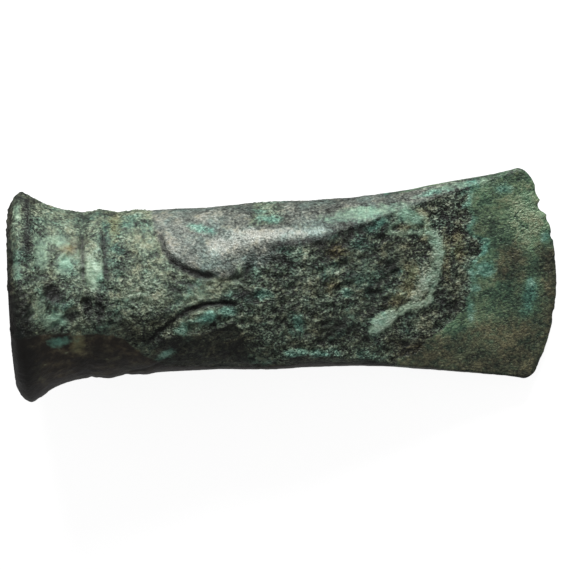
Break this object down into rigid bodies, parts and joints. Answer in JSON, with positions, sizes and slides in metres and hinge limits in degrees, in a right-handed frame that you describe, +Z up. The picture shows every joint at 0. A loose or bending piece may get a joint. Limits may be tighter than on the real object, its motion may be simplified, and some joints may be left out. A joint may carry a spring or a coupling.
{
  "type": "socketed axe head",
  "caption": "Late Bronze Age socketed axe head, a hollow bronze casting with a trumpet collar, wing-shaped panels and a flared, chipped blade under green patina.",
  "frame": {"origin": "middle of the footprint, on the surface that the axe head lies on", "axes": "+X from the socket's mouth towards the cutting edge, +Y across the blade, +Z up"},
  "size_m": [0.1214, 0.0484, 0.0423],
  "materials": {
    "patinated_bronze": "rough green and brown patina, smoother at the cutting edge"
  },
  "bodies": {
    "root": {"axe_head": "patinated_bronze"}
  },
  "joints": []
}
